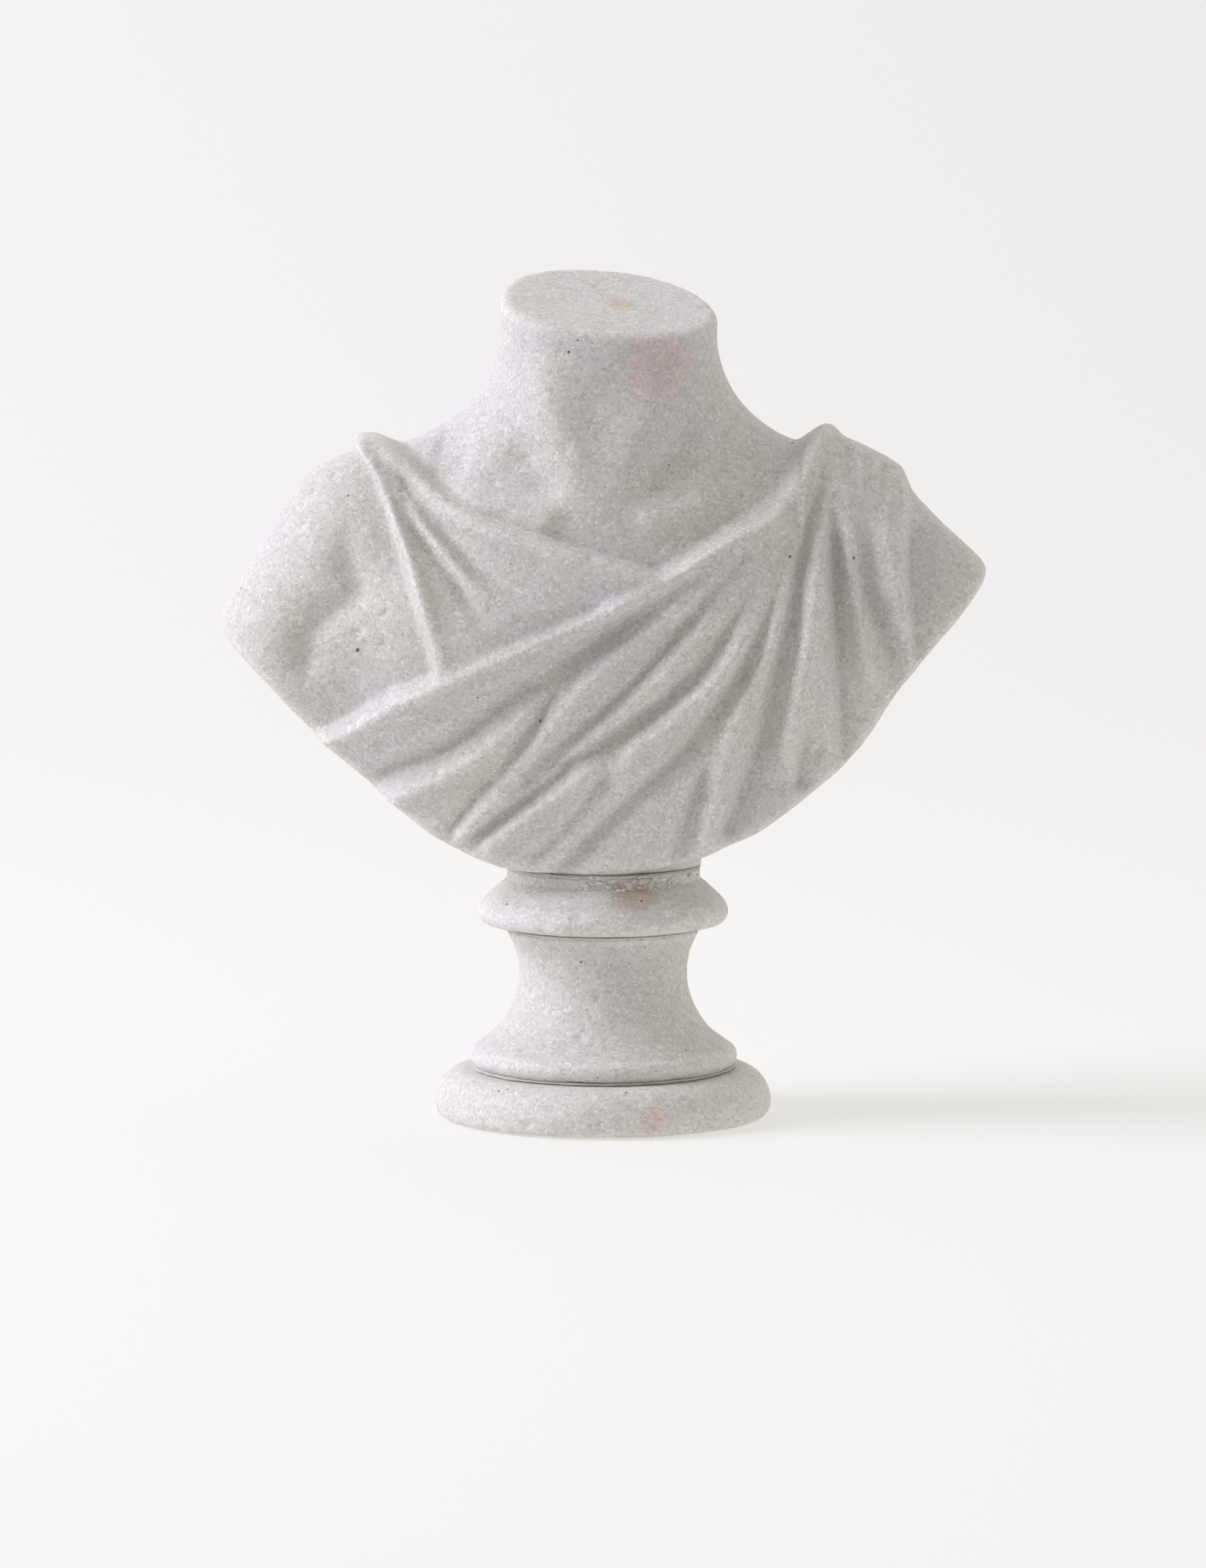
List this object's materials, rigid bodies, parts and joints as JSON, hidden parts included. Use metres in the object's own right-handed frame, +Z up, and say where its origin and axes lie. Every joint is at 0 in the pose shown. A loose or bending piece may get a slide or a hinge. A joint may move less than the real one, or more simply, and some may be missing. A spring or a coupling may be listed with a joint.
{
  "type": "bust on a socle",
  "caption": "Headless draped bust with a cut neck, carved in white marble, clamped on a round turned socle of stacked stones.",
  "frame": {"origin": "centre of the underside of the felt disc, on the socle's axis, in the plane that the object stands on", "axes": "+Z up along the socle's axis, the bust faces -Y, +X towards the side where the cloak lies over the shoulder"},
  "size_m": [0.253, 0.1118, 0.28],
  "materials": {
    "carved_marble": "honed, matte, coarse crystal",
    "turned_marble": "honed, matte, coarse crystal",
    "lime_mortar": "matte, gritty",
    "anchor_resin": "cured resin, satin",
    "zinc_steel": "zinc plated",
    "wool_felt": "pressed felt"
  },
  "bodies": {
    "root": {"bust": "carved_marble", "collar": "turned_marble", "stem": "turned_marble", "plinth": "turned_marble", "seat_bed": "lime_mortar", "collar_bed": "lime_mortar", "plinth_bed": "lime_mortar", "rod_resin": "anchor_resin", "tie_rod": "zinc_steel", "washer": "zinc_steel", "nut": "zinc_steel", "base_felt": "wool_felt"}
  },
  "joints": []
}
